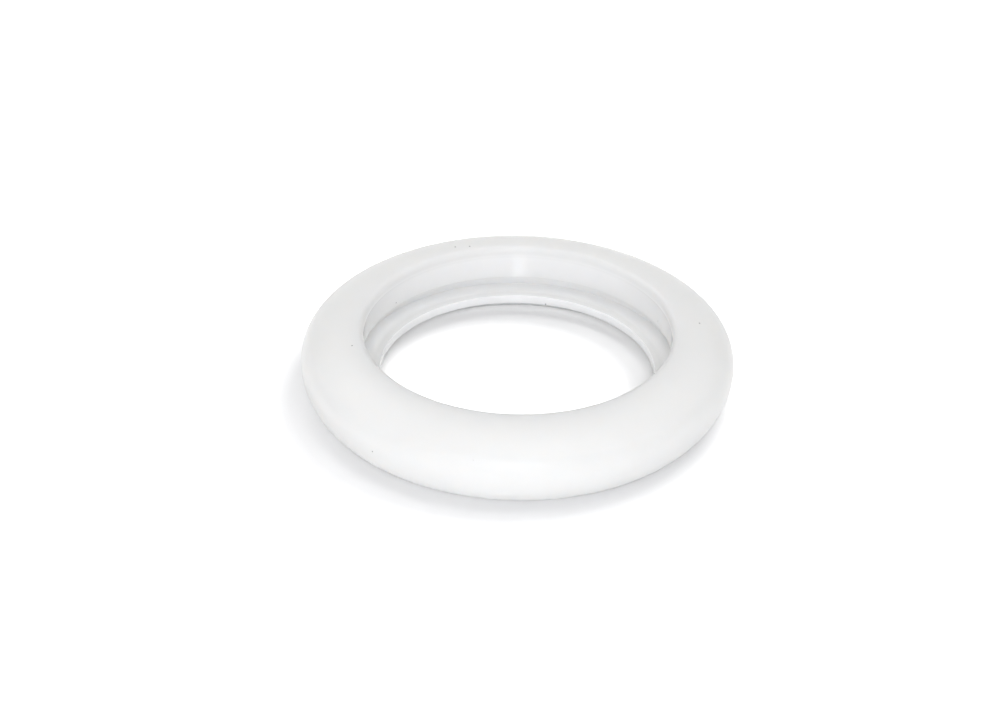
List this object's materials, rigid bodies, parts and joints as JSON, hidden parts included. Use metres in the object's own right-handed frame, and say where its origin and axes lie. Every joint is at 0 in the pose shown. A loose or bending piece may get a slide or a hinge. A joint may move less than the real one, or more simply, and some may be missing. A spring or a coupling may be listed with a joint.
{
  "type": "lid gasket",
  "caption": "Thick domed ring of translucent silicone with an inner groove and lip that hold it on a lid, so that it seals in a vessel's mouth.",
  "frame": {"origin": "centre of the flat base that the ring stands on", "axes": "+Z along the ring's axis, from the base towards the domed top"},
  "size_m": [0.08, 0.08, 0.0138],
  "materials": {
    "silicone": "translucent satin"
  },
  "bodies": {
    "root": {"lid_gasket": "silicone"}
  },
  "joints": []
}
